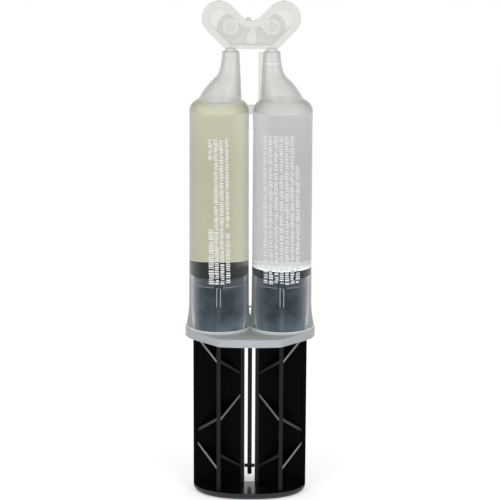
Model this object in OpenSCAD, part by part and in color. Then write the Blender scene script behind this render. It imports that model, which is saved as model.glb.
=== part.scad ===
// Two-barrel adhesive syringe, standing on its thumb plate with the nozzles up.
// X runs across the two barrels, Y from front to back, Z along the syringe.
// The origin is the middle of the thumb plate's underside, with the syringe full.

/* [Barrels] */
// Distance between the two barrel axes
barrel_pitch = 20.7; // [20.3:0.1:23]
// Radius of each bore
bore_r = 8.8; // [8:0.1:9]
// Outer radius of a barrel at its shoulder
barrel_top_r = 9.7; // [9.5:0.05:9.9]
// Outer radius of a barrel where the flare to the flange starts
barrel_low_r = 9.95; // [9.6:0.05:10.1]
// Length of a barrel from the flange's underside to the start of its shoulder
barrel_len = 75; // [66:1:90]
// Radius of the rounded shoulder
shoulder_r = 4; // [3:0.25:5]
// Thickness of the wall over the shoulder
shoulder_wall = 1.1; // [0.8:0.1:1.6]
// Height of the flare above the flange
flare_h = 9.1; // [6:0.5:12]
// Radius of the flare's sweep
flare_sweep_r = 36; // [28:2:60]
// Length of the tapered lead-in at each bore's mouth
lead_in = 2.6; // [1:0.1:3]
// Widening of the bore over the lead-in
lead_in_flare = 0.7; // [0.2:0.1:1]

/* [Webs between the barrels] */
// Thickness of the two webs, front to back
web_t = 2.6; // [1.6:0.2:4]
// Height of the lower web above the flange
low_web_h = 6.8; // [4:0.2:10]
// Height of the upper web
high_web_h = 2.8; // [2:0.2:4]

/* [Nozzles] */
// Distance between the two nozzle mouths
nozzle_pitch = 13.3; // [12.5:0.1:14]
// Outer radius of a nozzle at its tip
nozzle_tip_r = 2.82; // [2.6:0.02:3.1]
// Radius of the nozzle's outlet bore
outlet_r = 1.6; // [1.2:0.05:1.65]
// Length of the outlet bore below the tip
outlet_len = 3.9; // [3:0.1:5]
// Thickness of the skin that seals each outlet until the cap is snapped off
seal_t = 0.3; // [0.2:0.05:0.4]
// Height of the nozzle's tip above the shoulder
nozzle_h = 15.5; // [13:0.5:19]
// Gap between the two funnels at their feet
funnel_gap = 6.1; // [5:0.1:7]
// Reach of a funnel's foot beyond its barrel's axis
funnel_reach = 6.7; // [6:0.1:7]
// Wall thickness of the funnels and nozzles
nozzle_wall = 0.9; // [0.6:0.05:1.1]
// Rounding of the nozzle's rim
rim_round = 0.5; // [0.3:0.05:0.7]
// Thickness of the key fin on the right nozzle
key_fin_t = 1.1; // [0.8:0.1:1.6]
// Distance that the key fin stands off the nozzle's tip
key_fin_reach = 1.5; // [1:0.1:2]

/* [Storage cap] */
// Length of the snap-off necks between the nozzles and the cap
neck_h = 0.7; // [0.5:0.1:1.5]
// Radius of the snap-off necks
neck_r = 1.8; // [1.75:0.05:2]
// Distance that a neck reaches up the cap's plate, where it tapers off
neck_root = 0.9; // [0.5:0.1:1.4]
// Radius of a neck where it ends in the cap's plate
neck_end_r = 0.7; // [0.5:0.05:0.8]
// Radius of a wing's round end
wing_r = 5.55; // [5.3:0.05:6]
// Distance of a wing's round end from the middle
wing_x = 10.4; // [10:0.1:11.5]
// Height of a wing's round end above the cap's lower edge
wing_rise = 9.8; // [9.2:0.1:11]
// Radius in the notch between the wings
cap_notch_r = 4.1; // [2.5:0.1:5]
// Thickness of the cap's rim
cap_t = 1.7; // [1.4:0.1:2.4]
// Thickness of the cap's floor inside the rim
cap_floor_t = 0.9; // [0.7:0.1:1.2]
// Width of the rim
cap_rim_w = 2.2; // [1.6:0.1:2.6]
// Width of the rim along the cap's lower edge
cap_foot_rim = 1.3; // [1:0.1:2.2]
// Height of the nozzle sockets above the cap's lower edge
socket_rise = 7.1; // [6.6:0.1:7.6]
// Depth of the nozzle sockets behind the floor's face
socket_depth = 3.6; // [2:0.2:5]
// Wall of the bosses that hold the sockets
socket_wall = 1.0; // [0.7:0.1:1.4]
// Thickness of the stiffening ribs on the cap's back
cap_rib_t = 1.3; // [0.9:0.1:1.8]
// Depth of those ribs
cap_rib_d = 1.6; // [1:0.1:2.4]
// Radius of the gate boss in the middle of the cap
gate_r = 1.8; // [1.2:0.1:2.2]
// Height of the gate boss's middle above the cap's lower edge
gate_rise = 3.5; // [3:0.1:4]
// Length of the gate boss's tail
gate_tail = 3.6; // [2.5:0.1:4]
// Radius of the tail's end
gate_tail_r = 0.6; // [0.4:0.1:1]
// Radius of the gate's stub behind the notch
gate_stub_r = 1.0; // [0.6:0.1:1.2]

/* [Finger flange] */
// Thickness of the flange
flange_t = 2.6; // [2:0.1:4]
// Distance that the flange's round ends stand out beyond the flares
flange_lip = 0.1; // [0.1:0.1:1.5]
// Length of the flange's straight front and back edges
flange_side = 21.8; // [18:0.2:24]
// Distance from the middle to the front and back edges
flange_half_depth = 17.2; // [15:0.1:19]
// Bow of the front and back edges
flange_bow = 0.7; // [0.3:0.1:1.2]
// Radius of the flange's four corners
flange_corner_r = 1.6; // [0.8:0.1:2.5]

/* [Plunger] */
// Height of the flange's underside above the thumb plate's underside, with the syringe full
full_draw = 54.3; // [52:0.5:62]
// Thickness of the ribs
rib_t = 1.35; // [1:0.05:1.8]
// Thickness of the lips on the side ribs
lip_t = 1.3; // [0.5:0.05:1.6]
// Width of those lips
lip_w = 2.4; // [2:0.1:3.2]
// Distance that the rods reach into the full barrels
rod_reach = 17.8; // [16:0.1:19]
// Thickness of the braces between the ribs
brace_t = 1.0; // [0.7:0.1:1.4]
// Distance along a rod between the middles of its braces
brace_pitch = 20; // [18:0.5:22]
// Rise of a brace from the front rib to a side rib
brace_rise = 6.3; // [5:0.1:8]
// Height of the first pair of full braces
brace_first = 27.6; // [25:0.2:29]
// Height of the foot brace that rises to the outer rib
foot_brace_out = 10.7; // [9.5:0.1:12]
// Height of the foot brace that falls to the inner rib
foot_brace_in = 15; // [13:0.1:17]
// Height of the hub on each rod that carries its piston
hub_h = 4.1; // [3:0.1:4.6]

/* [Thumb plate] */
// Distance that the thumb plate's ends reach beyond the rods
plate_margin = 0; // [0:0.1:2]
// Half the depth of the thumb plate
plate_half_y = 12.6; // [10.5:0.1:14]
// Thickness of the thumb plate
plate_t = 2.4; // [2.2:0.1:3.2]
// Rounding under the thumb plate's edge
plate_round = 2.0; // [1:0.1:2]
// Squareness of the thumb plate's outline, where 2 is an ellipse
plate_square = 2.2; // [2:0.05:3]

/* [Stir stick] */
// Width of the stick
stick_w = 1.46; // [1.2:0.02:1.8]
// Depth of the stick, front to back
stick_d = 1.5; // [1:0.1:2]
// Gap between the thumb plate's top and the stick's lower end
stick_foot_gap = 2.5; // [1:0.1:4]
// Height of the snap-off bridges above the stick's lower end
bridge_rise = 2.5; // [2:0.1:4]
// Height of a bridge
bridge_h = 1.1; // [0.6:0.1:1.4]
// Depth of a bridge, front to back
bridge_d = 0.7; // [0.5:0.05:0.9]

/* [Pistons] */
// Height of a piston
piston_h = 6.1; // [6:0.1:8]
// Height of the band that wipes the bore
wiper_h = 3.1; // [2.5:0.1:4]
// Wall of the skirt
skirt_wall = 1.5; // [0.8:0.1:1.5]
// Width of the slots in the skirt that the front and back ribs enter
skirt_slot_w = 2.7; // [2:0.1:3.4]
// Distance that those ribs enter the slots
slot_entry = 2.4; // [1:0.1:3]

/* [Contents] */
// Height of the resin's surface above the start of the shoulder
resin_rise = 2.2; // [1:0.1:2.8]
// Height of the hardener's surface above the start of the shoulder
hardener_rise = 3.6; // [1:0.1:6]

/* [Fits] */
// Gap between a piston's wiping band and its bore
piston_gap = 0.05; // [0.02:0.01:0.1]
// Gap between a piston's skirt and its bore
skirt_gap = 0.4; // [0.2:0.05:0.8]
// Gap between the ribs of a rod and its bore
rod_gap = 0.2; // [0.2:0.05:0.8]
// Gap round the contents
fill_gap = 0.03; // [0.02:0.01:0.1]
// Gap between parts that slide past or sit in one another
slide_gap = 0.05; // [0.03:0.01:0.15]

/* [Hidden] */

overlap = 0.02;
round_fn = 96;
funnel_sides = 32;
funnel_rings = 12;
curve_steps = 10;

barrel_x = barrel_pitch / 2;
nozzle_x = nozzle_pitch / 2;
rod_r = bore_r - rod_gap;
skirt_r = bore_r - skirt_gap;
hub_r = skirt_r - skirt_wall - slide_gap;
plate_half_x = barrel_x + rod_r + plate_margin;
hub_root = 1.2;
brace_setback = 0.1;
cut = 1;

// Heights, from the thumb plate's underside up
flange_top = full_draw + flange_t;
flare_top = flange_top + flare_h;
shoulder_z = full_draw + barrel_len;
shoulder_top = shoulder_z + shoulder_r;
tip_z = shoulder_top + nozzle_h;
cap_z = tip_z + neck_h;
rod_top = full_draw + rod_reach;
crown_z = rod_top + piston_h;

// The inside of the shoulder follows its outside, with a slightly fuller corner
dome_fullness = 0.3;
dome_r = shoulder_r - shoulder_wall + dome_fullness;
dome_top = shoulder_top - shoulder_wall;
dome_z = dome_top - dome_r;
dome_corner_x = bore_r - dome_r;

// Points of a Bezier curve with four control points
function mix(p, t) = pow(1 - t, 3) * p[0] + 3 * t * pow(1 - t, 2) * p[1]
                     + 3 * t * t * (1 - t) * p[2] + pow(t, 3) * p[3];

// Points of an arc
function arc(c, r, from, to, steps = curve_steps) =
    [for (i = [0 : steps]) let (a = from + (to - from) * i / steps) c + r * [cos(a), sin(a)]];

module both_sides() {
    children();
    mirror([1, 0, 0]) children();
}

// The funnel's outer edge sweeps in an S from its foot on the shoulder up to the nozzle
tip_draft = 0.11;
foot_slope = 0.55;
tip_straight = 1.6;
sweep_pull = 0.685;
sweep_len = nozzle_h - tip_straight;
handle = sweep_len * sweep_pull;
sweep_top_x = nozzle_x + nozzle_tip_r;
foot_x = barrel_x + funnel_reach;
funnel_edge = [
    [foot_x, shoulder_top],
    [foot_x - foot_slope * handle, shoulder_top + handle],
    [sweep_top_x + tip_draft * handle, shoulder_top + sweep_len - handle],
    [sweep_top_x, shoulder_top + sweep_len]
];

// Inner edge of the funnel at a height, straight from the foot to the tip
function inner_edge(z) =
    let (t = (z - shoulder_top) / nozzle_h)
    funnel_gap / 2 + (nozzle_x - nozzle_tip_r - funnel_gap / 2) * t;

// One ring of the funnel is [height, centre, radius]
function ring_at(p) = [p[1], (p[0] + inner_edge(p[1])) / 2, (p[0] - inner_edge(p[1])) / 2];
funnel_profile = [for (i = [0 : funnel_rings]) ring_at(mix(funnel_edge, i / funnel_rings))];

// Solid funnel between a root below the shoulder and the nozzle's rim, shrunk by an inset
module funnel(inset, root, top, rim) {
    rings = concat(
        [[root, funnel_profile[0][1], funnel_profile[0][2] - inset]],
        [for (r = funnel_profile) [r[0], r[1], r[2] - inset]],
        [for (a = rim > 0 ? [0 : 30 : 90] : [0])
         [top - rim + rim * sin(a), nozzle_x, nozzle_tip_r - inset - rim * (1 - cos(a))]]);
    n = funnel_sides;
    count = len(rings);
    points = [for (r = rings, k = [0 : n - 1])
              [r[1] + r[2] * cos(360 * k / n), r[2] * sin(360 * k / n), r[0]]];
    walls = [for (j = [0 : count - 2], k = [0 : n - 1])
             [j * n + k, (j + 1) * n + k, (j + 1) * n + (k + 1) % n, j * n + (k + 1) % n]];
    bottom = [for (k = [0 : n - 1]) k];
    lid = [for (k = [n - 1 : -1 : 0]) (count - 1) * n + k];
    polyhedron(points, concat(walls, [bottom, lid]));
}

// Widening of the flare at a distance below its top
function flare_swell(drop) = flare_sweep_r - sqrt(pow(flare_sweep_r, 2) - pow(drop, 2));

// Outside of one barrel: flange seat, flare, drafted tube and rounded shoulder
module barrel_body() {
    flare = [for (i = [0 : curve_steps])
             let (z = flare_h * i / curve_steps)
             [barrel_low_r + flare_swell(flare_h - z), flange_top + z]];
    shoulder = arc([barrel_top_r - shoulder_r, shoulder_z], shoulder_r, 0, 90);
    rotate_extrude($fn = round_fn)
        polygon(concat([[0, full_draw], [flare[0][0], full_draw]], flare, shoulder,
                       [[0, shoulder_top]]));
}

// Everything inside one barrel, up through its funnel, shrunk by a gap
module chamber(gap, floor_z) {
    translate([barrel_x, 0, 0]) {
        translate([0, 0, floor_z])
            cylinder(h = dome_z - floor_z + overlap, r = bore_r - gap, $fn = round_fn);
        rotate_extrude($fn = round_fn)
            polygon(concat([[0, dome_z]],
                           arc([dome_corner_x, dome_z], dome_r - gap, 0, 90),
                           [[0, dome_top - gap]]));
    }
    funnel(nozzle_wall + gap, dome_top - nozzle_wall, tip_z - rim_round, 0);
}

// Finger flange, with a slightly bowed front and back
module flange() {
    end_r = barrel_low_r + flare_swell(flare_h) + flange_lip;
    corner_x = flange_side / 2 - flange_corner_r;
    corner_y = flange_half_depth - flange_bow - flange_corner_r;
    bow_r = (pow(corner_x, 2) + pow(flange_bow, 2)) / (2 * flange_bow);
    bow_angle = asin(corner_x / bow_r);
    bow = arc([0, bow_r - flange_half_depth], bow_r, -90 - bow_angle, -90 + bow_angle);
    translate([0, 0, full_draw])
        linear_extrude(height = flange_t)
            hull() {
                both_sides() translate([barrel_x, 0]) circle(r = end_r, $fn = 64);
                for (sx = [-1, 1], sy = [-1, 1])
                    translate([sx * corner_x, sy * corner_y]) circle(r = flange_corner_r, $fn = 32);
                polygon(concat(bow, [for (p = bow) -p]));
            }
}

// Webs that tie the barrels together at both ends of the slit between them
module webs() {
    web_half = barrel_x - bore_r;
    for (span = [[full_draw, flange_t + low_web_h],
                 [shoulder_z - high_web_h / 3, high_web_h]])
        translate([-web_half, -web_t / 2, span[0]])
            cube([2 * web_half, web_t, span[1]]);
}

// Flat fin on the right nozzle, which lets the cap go back on one way round only
module key_fin() {
    fin_edge = nozzle_x - nozzle_tip_r - key_fin_reach;
    translate([fin_edge, -key_fin_t / 2, shoulder_z + shoulder_r / 2])
        cube([nozzle_x - fin_edge, key_fin_t, tip_z - rim_round - shoulder_z - shoulder_r / 2]);
}

// Outline of the cap, drawn in from its edge by an inset
function cap_half_outline(inset) =
    let (r = wing_r - inset,
         c = [wing_x, wing_rise],
         low = c + r * [cos(-45), sin(-45)],
         foot_rise = inset * cap_foot_rim / cap_rim_w,
         foot = [low[0] - (low[1] - foot_rise), foot_rise],
         high = c + r * [cos(135), sin(135)],
         valley = high[1] - high[0],
         notch = cap_notch_r + inset,
         notch_c = [0, valley + notch * sqrt(2)])
    concat([foot], arc(c, r, -45, 135, 24), arc(notch_c, notch, -45, -90, 8));

module cap_outline(inset) {
    half = cap_half_outline(inset);
    other = [for (i = [len(half) - 2 : -1 : 0]) [-half[i][0], half[i][1]]];
    polygon(concat(half, other));
}

// Lays a flat shape in the cap's plane, between two depths behind the nozzles' axes
module in_cap_plane(front, back) {
    translate([0, back, cap_z])
        rotate([90, 0, 0])
            linear_extrude(height = back - front)
                children();
}

// Butterfly cap: a rimmed plate with a socket and a plug for each nozzle
module storage_cap() {
    floor_y = cap_t / 2 - cap_floor_t;
    socket_r = nozzle_tip_r - rim_round / 2;
    boss_r = socket_r + socket_wall;
    plug_r = outlet_r - slide_gap;
    boss_back = floor_y + socket_depth + cap_floor_t;
    difference() {
        union() {
            in_cap_plane(floor_y, cap_t / 2) cap_outline(0);
            difference() {
                in_cap_plane(-cap_t / 2, cap_t / 2) cap_outline(0);
                in_cap_plane(-cap_t, floor_y) cap_outline(cap_rim_w);
            }
            both_sides() {
                in_cap_plane(0, boss_back)
                    translate([nozzle_x, socket_rise]) circle(r = boss_r, $fn = 64);
                in_cap_plane(0, cap_t / 2 + cap_rib_d)
                    intersection() {
                        cap_outline(0);
                        translate([wing_x - cap_rib_t / 2, socket_rise]) square([cap_rib_t, 2 * wing_r]);
                    }
            }
            gate_boss(floor_y);
        }
        both_sides()
            in_cap_plane(-cap_t, floor_y + socket_depth)
                translate([nozzle_x, socket_rise])
                    difference() {
                        circle(r = socket_r, $fn = 64);
                        circle(r = plug_r, $fn = 64);
                    }
        key_slot(socket_r, floor_y);
    }
}

// Raised drop in the middle of the cap, with the gate's stub behind it
module gate_boss(floor_y) {
    in_cap_plane(-cap_t / 2, floor_y + overlap)
        hull() {
            translate([0, gate_rise]) circle(r = gate_r, $fn = 32);
            translate([gate_tail_r, gate_rise + gate_tail]) circle(r = gate_tail_r, $fn = 32);
        }
    in_cap_plane(0, cap_t / 2 + cap_rib_d)
        translate([-gate_stub_r, valley_rise()]) circle(r = gate_stub_r, $fn = 32);
}

// Height of the notch's lowest point above the cap's lower edge
function valley_rise() = wing_rise - wing_x + wing_r * sqrt(2) + cap_notch_r * (sqrt(2) - 1);

// Slot beside the right socket for the key fin
module key_slot(socket_r, floor_y) {
    slot_reach = key_fin_reach / 2;
    in_cap_plane(-cap_t, floor_y + socket_depth / 2)
        translate([nozzle_x - socket_r - slot_reach, socket_rise - key_fin_t / 2 - slide_gap])
            square([socket_r / 2 + slot_reach, key_fin_t + 2 * slide_gap]);
}

// Barrels, flange, nozzles and snap-off cap are one moulding
module double_barrel() {
    color([0.86, 0.88, 0.87, 0.6])
    difference() {
        union() {
            flange();
            webs();
            key_fin();
            both_sides() {
                translate([barrel_x, 0, 0]) barrel_body();
                funnel(0, shoulder_z + shoulder_r / 2, tip_z, rim_round);
                translate([nozzle_x, 0, tip_z - rim_round])
                    cylinder(h = rim_round + neck_h, r = neck_r, $fn = 48);
                translate([nozzle_x, 0, cap_z])
                    cylinder(h = neck_root, r1 = neck_r, r2 = neck_end_r, $fn = 48);
            }
            storage_cap();
        }
        both_sides() {
            chamber(0, full_draw - overlap);
            translate([barrel_x, 0, full_draw - overlap])
                cylinder(h = lead_in, r1 = bore_r + lead_in_flare, r2 = bore_r, $fn = round_fn);
            translate([nozzle_x, 0, tip_z - outlet_len])
                cylinder(h = outlet_len + neck_h - seal_t, r = outlet_r, $fn = 48);
        }
    }
}

// Cross-section of a rod: a cross whose side ribs end in lips
module rod_section() {
    intersection() {
        circle(r = rod_r, $fn = round_fn);
        union() {
            square([2 * rod_r, rib_t], center = true);
            square([rib_t, 2 * rod_r], center = true);
            for (s = [-1, 1])
                translate([s * (rod_r - lip_t / 2), 0]) square([lip_t, lip_w], center = true);
        }
    }
}

// Brace that climbs from the front and back ribs at a height to one side rib
module brace(side, height, rise) {
    run = rod_r - lip_t - rib_t / 2 + overlap;
    depth = rod_r - brace_setback;
    mirror([side < 0 ? 1 : 0, 0, 0])
        intersection() {
            translate([rib_t / 2 - overlap, depth, 0])
                rotate([90, 0, 0])
                    linear_extrude(height = 2 * depth)
                        polygon([[0, height - brace_t], [run, height + rise - brace_t],
                                 [run, height + rise], [0, height]]);
            translate([0, 0, plate_t])
                linear_extrude(height = rod_top - plate_t)
                    polygon([[rib_t / 2 - overlap, -depth], [rod_r - lip_t, -rib_t / 2 + overlap],
                             [rod_r - lip_t, rib_t / 2 - overlap], [rib_t / 2 - overlap, depth]]);
        }
}

// Zigzag of braces up one rod, where side 1 is the outer rib
module braces() {
    brace(1, foot_brace_out, brace_rise);
    brace(-1, foot_brace_in, -brace_rise);
    for (k = [0 : floor((rod_top - brace_t - brace_first) / brace_pitch)])
        let (z = brace_first + k * brace_pitch, side = k % 2 == 0 ? 1 : -1) {
            brace(side, z, -brace_rise);
            if (z + brace_rise < rod_top) brace(-side, z, brace_rise);
        }
}

// One rod, with the hub that its piston sits on
module rod() {
    translate([0, 0, plate_t - overlap])
        linear_extrude(height = rod_top - plate_t - slide_gap + overlap)
            rod_section();
    braces();
    translate([0, 0, rod_top - hub_root]) cylinder(h = hub_root + hub_h, r = hub_r, $fn = 64);
    translate([-rib_t / 2, -skirt_r, rod_top - hub_root])
        cube([rib_t, 2 * skirt_r, hub_root + slot_entry]);
}

function plate_point(a, inset) =
    [(plate_half_x - inset) * sign(cos(a)) * pow(abs(cos(a)), 2 / plate_square),
     (plate_half_y - inset) * sign(sin(a)) * pow(abs(sin(a)), 2 / plate_square)];

// Rounded thumb plate, open behind the stir stick
module thumb_plate() {
    slot_half = barrel_x - rod_r;
    difference() {
        hull() {
            translate([0, 0, plate_round])
                linear_extrude(height = plate_t - plate_round)
                    polygon([for (a = [0 : 5 : 355]) plate_point(a, 0)]);
            for (a = [22.5 : 22.5 : 90])
                translate([0, 0, plate_round * (1 - sin(a))])
                    linear_extrude(height = overlap)
                        polygon([for (b = [0 : 5 : 355]) plate_point(b, plate_round * (1 - cos(a)))]);
        }
        translate([-slot_half, 0, -cut])
            cube([2 * slot_half, plate_half_y + cut, plate_t + 2 * cut]);
    }
}

// Both rods and the thumb plate are one moulding
module plunger() {
    color([0.08, 0.08, 0.09]) {
        thumb_plate();
        translate([barrel_x, 0, 0]) rod();
        mirror([1, 0, 0]) translate([barrel_x, 0, 0]) rod();
    }
}

// Snap-off stir stick, moulded between the rods on two thin bridges
module stir_stick() {
    foot = plate_t + stick_foot_gap;
    edge = 0.3;
    front = slide_gap * 3;
    bridge_x = barrel_x - rod_r - slide_gap;
    color([0.1, 0.1, 0.11]) {
        translate([0, front + stick_d, 0])
            rotate([90, 0, 0])
                linear_extrude(height = stick_d)
                    polygon([[-stick_w / 2 + edge, foot], [stick_w / 2 - edge, foot],
                             [stick_w / 2, foot + edge], [stick_w / 2, full_draw - edge],
                             [stick_w / 2 - edge, full_draw], [-stick_w / 2 + edge, full_draw],
                             [-stick_w / 2, full_draw - edge], [-stick_w / 2, foot + edge]]);
        translate([-bridge_x, front, foot + bridge_rise])
            cube([2 * bridge_x, bridge_d, bridge_h]);
    }
}

// Piston with a wiping band over a slotted skirt
module piston() {
    wall_r = bore_r - piston_gap;
    band_z = crown_z - wiper_h;
    edge = 0.35;
    difference() {
        rotate_extrude($fn = round_fn)
            polygon([[0, rod_top], [skirt_r, rod_top], [skirt_r, band_z - edge],
                     [wall_r, band_z], [wall_r, crown_z - edge], [wall_r - edge, crown_z],
                     [0, crown_z]]);
        translate([0, 0, rod_top - cut])
            cylinder(h = hub_h + cut, r = skirt_r - skirt_wall, $fn = 64);
        translate([-skirt_slot_w / 2, -bore_r, rod_top - cut])
            cube([skirt_slot_w, 2 * bore_r, slot_entry + slide_gap + cut]);
    }
}

module resin_piston() {
    color([0.1, 0.1, 0.11]) translate([-barrel_x, 0, 0]) piston();
}

module hardener_piston() {
    color([0.1, 0.1, 0.11]) translate([barrel_x, 0, 0]) piston();
}

// Contents of one barrel, from its piston up to a level in the shoulder
module fill(rise) {
    intersection() {
        chamber(fill_gap, crown_z + fill_gap);
        translate([barrel_x, 0, crown_z])
            cylinder(h = shoulder_z + rise - crown_z, r = barrel_top_r, $fn = 64);
    }
}

module resin_fill() {
    color([0.77, 0.76, 0.62]) mirror([1, 0, 0]) fill(resin_rise);
}

module hardener_fill() {
    color([0.76, 0.77, 0.75]) fill(hardener_rise);
}

double_barrel();
plunger();
resin_piston();
hardener_piston();
stir_stick();
resin_fill();
hardener_fill();
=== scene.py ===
"""Looks of the two-barrel adhesive syringe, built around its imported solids."""

import math  # noqa: E402
import random  # noqa: E402

import bpy  # noqa: E402
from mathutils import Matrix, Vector  # noqa: E402


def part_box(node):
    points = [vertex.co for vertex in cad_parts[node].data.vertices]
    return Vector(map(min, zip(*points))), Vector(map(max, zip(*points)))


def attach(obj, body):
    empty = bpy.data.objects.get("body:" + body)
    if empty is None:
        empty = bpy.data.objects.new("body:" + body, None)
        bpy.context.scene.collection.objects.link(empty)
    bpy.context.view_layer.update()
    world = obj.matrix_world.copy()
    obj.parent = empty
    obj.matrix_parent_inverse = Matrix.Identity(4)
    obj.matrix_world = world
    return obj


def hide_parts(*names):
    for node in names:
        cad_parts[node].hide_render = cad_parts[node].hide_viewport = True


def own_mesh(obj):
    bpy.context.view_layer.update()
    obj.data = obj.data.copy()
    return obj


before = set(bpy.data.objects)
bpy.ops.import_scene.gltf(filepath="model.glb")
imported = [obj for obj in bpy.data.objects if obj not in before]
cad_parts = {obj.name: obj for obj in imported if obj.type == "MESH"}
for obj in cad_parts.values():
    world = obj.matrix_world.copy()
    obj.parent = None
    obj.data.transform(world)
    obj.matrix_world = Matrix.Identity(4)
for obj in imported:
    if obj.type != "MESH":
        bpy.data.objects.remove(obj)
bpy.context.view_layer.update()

bl_info = {
    "name": "Two-barrel adhesive syringe",
    "version": (1, 0, 0),
    "blender": (4, 5, 0),
    "location": "3D View > Sidebar > Syringe",
    "description": "Finishes a two-barrel adhesive syringe and sets up its studio",
    "category": "Object",
}

MM = 0.001
PANEL_TAB = "Syringe"

# How faces are found by their place and by the way they point
NEAR, BESIDE, TOUCHING = 0.1 * MM, 0.05 * MM, 0.01 * MM
LEVEL, FACING, SLANTED, LEANING = 0.99, 0.9, 0.4, 0.3

# How near the points of a solid's mesh are merged, and how flat its joined faces are
MERGE_WITHIN, FLAT_WITHIN = 0.002 * MM, math.radians(0.3)

# How sharp an edge has to be before it is rounded
FLANGE_SHARP, PLUNGER_SHARP = math.radians(55), math.radians(60)
PISTON_SHARP, STICK_SHARP = math.radians(50), math.radians(20)

# Places and sizes of the solids: from their boxes, or as the part's source has them
PISTON_LOW, PISTON_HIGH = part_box("hardener_piston")
RESIN_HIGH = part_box("resin_fill")[1]
HARDENER_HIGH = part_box("hardener_fill")[1]
PISTON_PLAY = 0.05 * MM
BARREL_X = (PISTON_LOW.x + PISTON_HIGH.x) / 2
BORE_R = (PISTON_HIGH.x - PISTON_LOW.x) / 2 + PISTON_PLAY
NOZZLE_X = 6.65 * MM
SHOULDER_Z, SHOULDER_TOP = 129.3 * MM, 133.3 * MM
DOME_Z = 129.0 * MM
TIP_Z, CAP_Z = 148.8 * MM, 149.5 * MM
FLANGE_TOP, FLARE_TOP = 56.9 * MM, 66 * MM
WIPER_Z = PISTON_HIGH.z - 3.1 * MM
ROD_TOP = PISTON_LOW.z

# Where the faces of the barrel moulding change their kind
WALL_MIDDLE_R = 9.4 * MM
BORE_TOP_Z = TIP_Z + 0.45 * MM
DOME_TOP_Z = SHOULDER_TOP - 1.05 * MM
DOME_CENTRE_Z = DOME_Z - 3 * MM
FUNNEL_SHIFT, FUNNEL_SWEEP = 0.3 * MM, 0.6
HEAD_TOP_Z = TIP_Z - 0.3 * MM
FLARE_FOOT_R, FLANGE_MOUTH_R = 11.4 * MM, BORE_R + 1.5 * MM
FOOT_LOW, FOOT_HIGH = 57.6 * MM, 57.9 * MM
WEB_HALF, WEB_DEPTH = 1.5 * MM, 1.35 * MM
FUNNEL_FOOT_X, FUNNEL_TOP_X = 3.05 * MM, 3.83 * MM
CAP_FRONT, CAP_FLOOR = -0.85 * MM, -0.05 * MM
CAP_GROOVE = CAP_FLOOR + 0.02 * MM
SOCKET_Z = CAP_Z + 7.1 * MM
SOCKET_CLEAR = 3.3 * MM

# Polypropylene: its refraction, the tint of what it mirrors, and how far from head on its milk
# starts and ends to thicken
PLASTIC_IOR = 1.49
WALL_SHINE, HEAD_SHINE = "#1E2022", "#A6B2BC"
MILK_FROM, MILK_TO = 0.12, 0.7

# Painted glow at the foot of the flares, broken by noise into patches about 4 mm across, and how far
# it changes
FOOT_GLOW_TOP = 64 * MM
GLOW_PATCHES_PER_METRE = 260
PATCH_FROM, PATCH_TO = 0.35, 0.68
LEAST_GLOW, MOST_GLOW = 0.72, 1.25

# Light that a full barrel takes in beside the slit and under the shoulder
SLIT_LIGHT_FROM, SLIT_LIGHT_FULL = 7 * MM, 2.2 * MM
SLIT_LIGHT_RISE = 2 * MM
TOP_LIGHT_FROM, TOP_LIGHT = 112 * MM, 0.14

# The cap round a socket with painted light and shade, as (radius in mm, colour): a painted shade ring
# round the boss, and the painted bright crescent outside it on the side the light comes from
SOCKET_REACH = 9 * MM
SOCKET_BANDS = ((0.0, "#D4D7D0"), (1.4, "#D2D5CE"), (2.7, "#CDCFCA"), (4.0, "#CED0CB"))
OPEN_FLOOR, CRESCENT = "#D3D5D0", "#E5E7E1"
CRESCENT_FROM, CRESCENT_FULL = 4.0 * MM, 4.7 * MM
CRESCENT_NEAR, CRESCENT_FAR = 0.5 * MM, 3.5 * MM
# Way that the painted light on the cap comes from
CRESCENT_WAY = (0.55, 0, 0.83)

# Where the liquid ends in a funnel's foot: the line's lowest height, curve per metre and offset
FOOT_LINE_Z = 131.5 * MM
FOOT_LINE_SAG = 35
FOOT_LINE_X = 1 * MM
FOOT_LINE_FROM, FOOT_LINE_TO = -0.6 * MM, 0.9 * MM

# The funnels over that line, which hold air
AIR_FROM, AIR_TO = SHOULDER_TOP + 0.3 * MM, SHOULDER_TOP + 1.5 * MM
AIR_MILK, AIR_EDGE_MILK = "#D6D9D2", "#C4C8C8"
HEAD_MILK_SHARE = 0.76

# The painted dark line of shade along the bore's side: how far from head on, at the funnel's foot and
# at its tip
BORE_LINE_FOOT, BORE_LINE_TIP = 0.54, 0.27
BORE_LINE_FROM, BORE_LINE_TO, BORE_LINE_SHADE = 0.02, 0.1, 0.84

# The painted highlight along the line where the hardener stands in its nozzle
MENISCUS_Z = 145 * MM
MENISCUS_FROM, MENISCUS_TO = 0.08 * MM, 0.3 * MM
MENISCUS_WIDE, MENISCUS_ENDS = 0.3, 0.4
MENISCUS_SHINE = "#F0F2EE"

# The rods' braces: which way along x, height at the front rib, and rise to the side rib, in mm
BRACES = ((1, 10.7, 6.3), (-1, 15, -6.3), (1, 27.6, -6.3), (-1, 27.6, 6.3),
          (-1, 47.6, -6.3), (1, 47.6, 6.3), (1, 67.6, -6.3))
BRACE_HALF, BRACE_RUN, BRACE_NEAR = 0.5, 6.65, 1.2
RIB_HALF = 0.675

# Where the faces of the black pieces change their kind, and the material slots of all pieces
RIB_FRONT = -8.2 * MM
LIT_EDGE = 0.42 * MM
LIP_FROM = 7.4 * MM
PLATE_RIM_TOP, PLATE_TOP = 2.3 * MM, 3 * MM
LIT_LIP_TOP, LIT_LIP_R = ROD_TOP + 0.16 * MM, 8.2 * MM
STICK_ROUND = 0.1 * MM
EDGE_SLOT, LIT_BRACE_SLOT, BRACE_SLOT, PLATE_SLOT, LIT_RIB_SLOT = range(1, 6)
CROWN_SLOT, SKIRT_SLOT, LIT_LIP_SLOT = range(3)
CONTACT_SLOT = 1
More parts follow.
